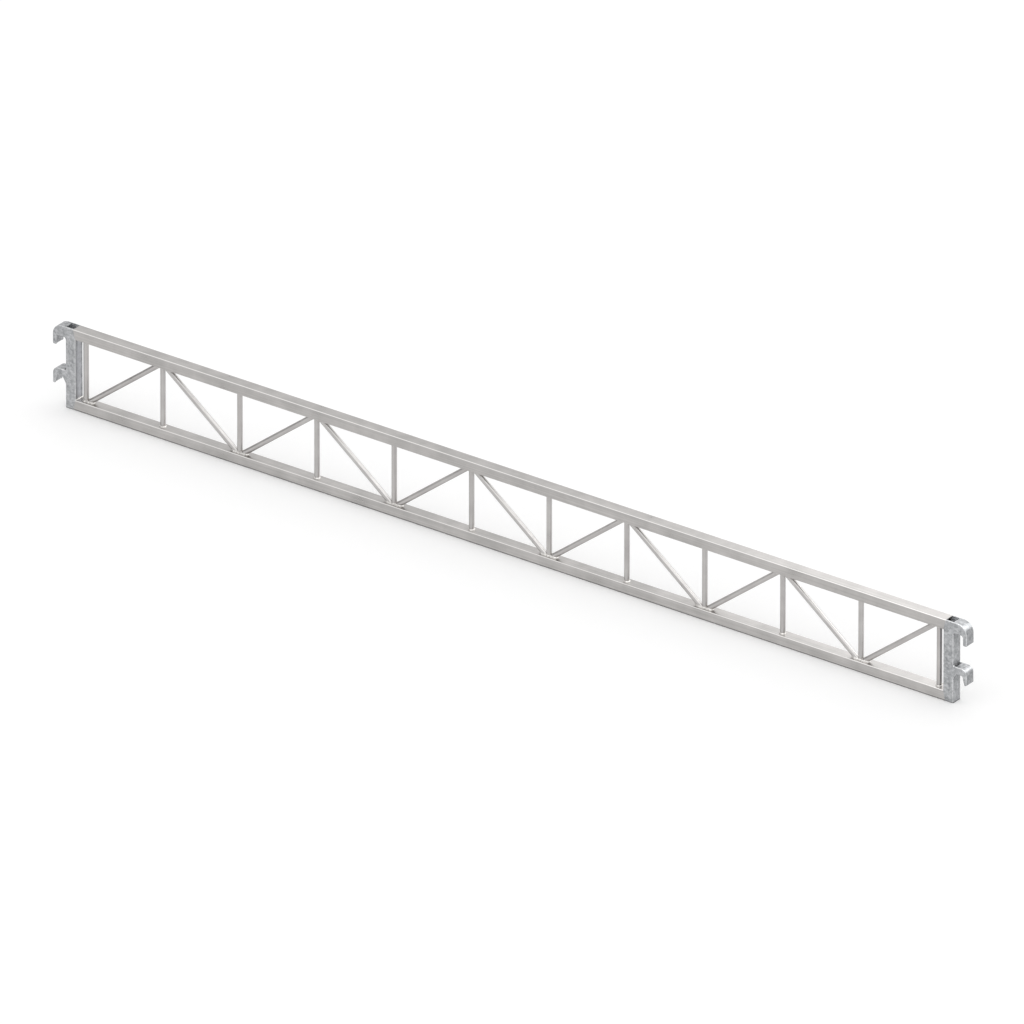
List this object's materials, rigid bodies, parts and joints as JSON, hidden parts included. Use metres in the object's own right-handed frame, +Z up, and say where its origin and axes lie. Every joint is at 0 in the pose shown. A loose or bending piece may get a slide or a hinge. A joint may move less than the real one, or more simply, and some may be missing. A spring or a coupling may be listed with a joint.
{
  "type": "lattice girder",
  "caption": "Long flat lattice girder of aluminium tube with rectangular chords, zig-zag web and galvanised steel heads whose downward hooks hang it between two rails.",
  "frame": {"origin": "middle of the underside of the bottom chord", "axes": "+X along the girder towards its right end as seen from the front, +Y to the rear, +Z up"},
  "size_m": [3, 0.034, 0.24],
  "materials": {
    "aluminium": "mill-finish extrusion, satin, fine lengthwise lines",
    "galvanised_steel": "hot-dip galvanised, mottled spangle, dull",
    "screw_steel": "plain countersunk stainless screws"
  },
  "bodies": {
    "root": {"top_chord": "aluminium", "bottom_chord": "aluminium", "vertical_01": "aluminium", "vertical_02": "aluminium", "vertical_03": "aluminium", "vertical_04": "aluminium", "vertical_05": "aluminium", "vertical_06": "aluminium", "vertical_07": "aluminium", "vertical_08": "aluminium", "vertical_09": "aluminium", "vertical_10": "aluminium", "vertical_11": "aluminium", "vertical_12": "aluminium", "diagonal_01": "aluminium", "diagonal_02": "aluminium", "diagonal_03": "aluminium", "diagonal_04": "aluminium", "diagonal_05": "aluminium", "diagonal_06": "aluminium", "diagonal_07": "aluminium", "diagonal_08": "aluminium", "diagonal_09": "aluminium", "diagonal_10": "aluminium", "diagonal_11": "aluminium", "front_cheek_left": "galvanised_steel", "rear_cheek_left": "galvanised_steel", "upper_strap_left": "galvanised_steel", "lower_strap_left": "galvanised_steel", "upper_liner_left": "galvanised_steel", "lower_liner_left": "galvanised_steel", "inner_wall_left": "galvanised_steel", "outer_wall_left": "galvanised_steel", "top_tongue_left": "galvanised_steel", "bottom_tongue_left": "galvanised_steel", "front_cheek_right": "galvanised_steel", "rear_cheek_right": "galvanised_steel", "upper_strap_right": "galvanised_steel", "lower_strap_right": "galvanised_steel", "upper_liner_right": "galvanised_steel", "lower_liner_right": "galvanised_steel", "inner_wall_right": "galvanised_steel", "outer_wall_right": "galvanised_steel", "top_tongue_right": "galvanised_steel", "bottom_tongue_right": "galvanised_steel", "tongue_screws": "screw_steel"}
  },
  "joints": []
}
